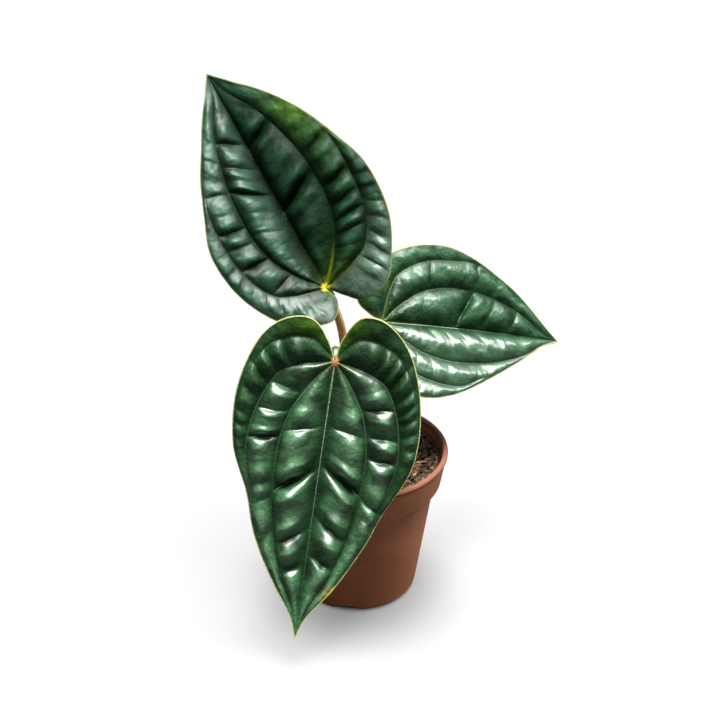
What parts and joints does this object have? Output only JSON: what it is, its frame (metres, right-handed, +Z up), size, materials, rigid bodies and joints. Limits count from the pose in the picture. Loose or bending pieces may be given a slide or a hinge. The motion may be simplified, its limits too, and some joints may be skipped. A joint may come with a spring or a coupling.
{
  "type": "potted anthurium luxurians",
  "caption": "Young aroid house plant with quilted, heart-shaped blades on slender petioles, growing in bark mix in a round tapered nursery pot.",
  "frame": {"origin": "centre of the pot's underside, on the surface that it stands on", "axes": "+Z up; -Y is the front, the side that the front blade hangs on; +X is to the right seen from the front"},
  "size_m": [0.173, 0.1299, 0.2448],
  "materials": {
    "pot_plastic": "satin terracotta-brown moulded plastic",
    "bark_mix": "rough dark bark and fibre",
    "crown": "dull stem, roots and dry scale leaves",
    "petiole": "smooth, faintly glossy stalk",
    "blade": "glossy quilted leaf, deep green"
  },
  "bodies": {
    "root": {"pot": "pot_plastic", "potting_mix": "bark_mix", "crown_and_roots": "crown", "petiole_front": "petiole", "petiole_top": "petiole", "petiole_right": "petiole", "leaf_front": "blade", "leaf_top": "blade", "leaf_right": "blade"}
  },
  "joints": []
}
